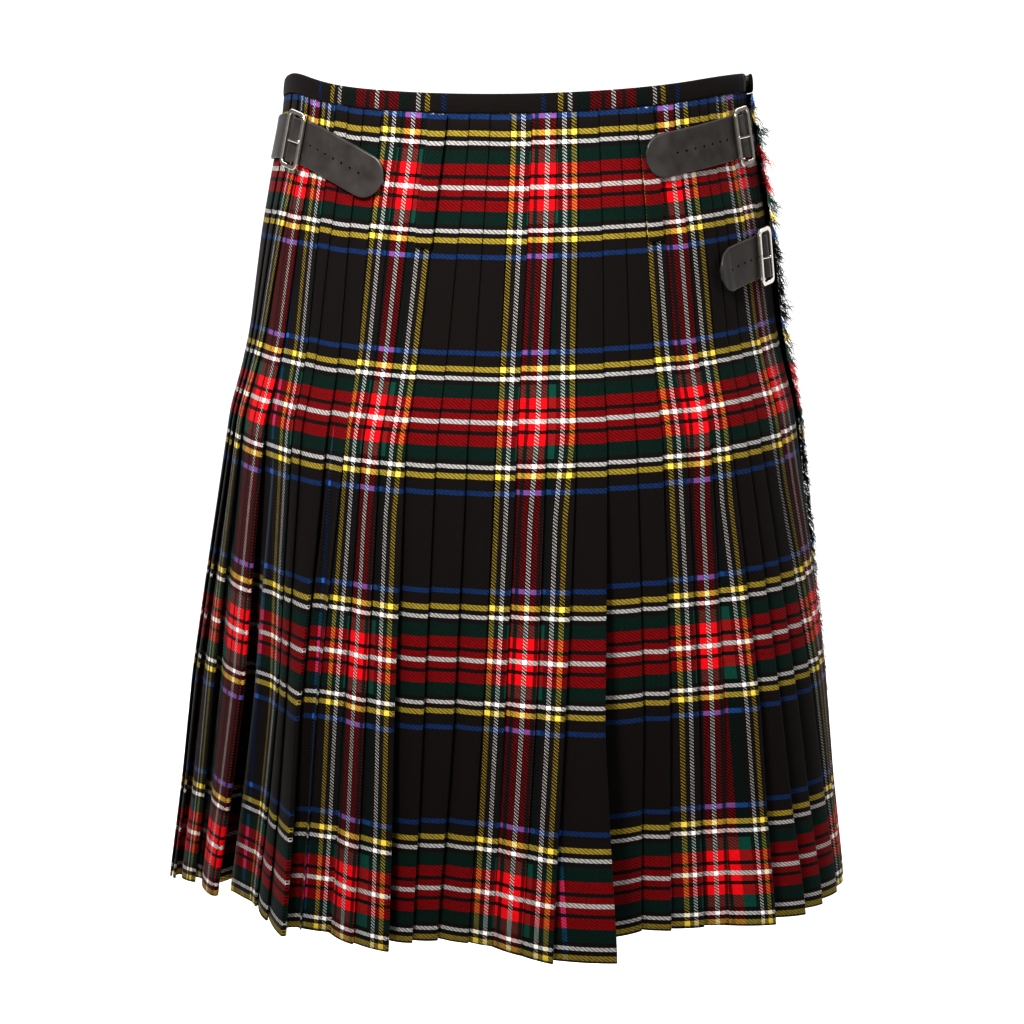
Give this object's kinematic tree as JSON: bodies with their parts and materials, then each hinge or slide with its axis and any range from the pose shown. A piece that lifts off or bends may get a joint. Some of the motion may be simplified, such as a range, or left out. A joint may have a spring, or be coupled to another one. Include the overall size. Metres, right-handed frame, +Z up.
{
  "type": "scottish kilt",
  "caption": "Scottish kilt in worn form: knife-pleated tartan back, wrapped aprons with a fringed edge, waistband, belt loops and leather straps in metal buckles.",
  "frame": {"origin": "centre of the waist opening at the top of the waistband, where the wearer's waist holds the kilt", "axes": "+Z up, +Y towards the wearer's front where the aprons wrap, +X towards the wearer's right where the fringed edge hangs; the pleated back faces -Y"},
  "size_m": [0.497, 0.3592, 0.6271],
  "materials": {
    "tartan": "pressed twill cloth, mostly black with red, green, blue, white and yellow stripes",
    "band": "the same twill, doubled and stitched",
    "fringe": "loose yarn ends",
    "leather": "black, smooth, low sheen",
    "nickel": "bright nickel plate"
  },
  "bodies": {
    "root": {"pleated_back": "tartan", "over_apron": "tartan", "under_apron": "tartan", "waistband": "band", "fringe": "fringe", "belt_loop_left": "tartan", "belt_loop_right": "tartan", "right_waist_strap": "leather", "right_waist_chape": "leather", "right_waist_buckle": "nickel", "right_waist_buckle_bar": "nickel", "right_waist_buckle_tongue": "nickel", "left_waist_strap": "leather", "left_waist_chape": "leather", "left_waist_buckle": "nickel", "left_waist_buckle_bar": "nickel", "left_waist_buckle_tongue": "nickel", "right_hip_strap": "leather", "right_hip_chape": "leather", "right_hip_buckle": "nickel", "right_hip_buckle_bar": "nickel", "right_hip_buckle_tongue": "nickel"}
  },
  "joints": []
}
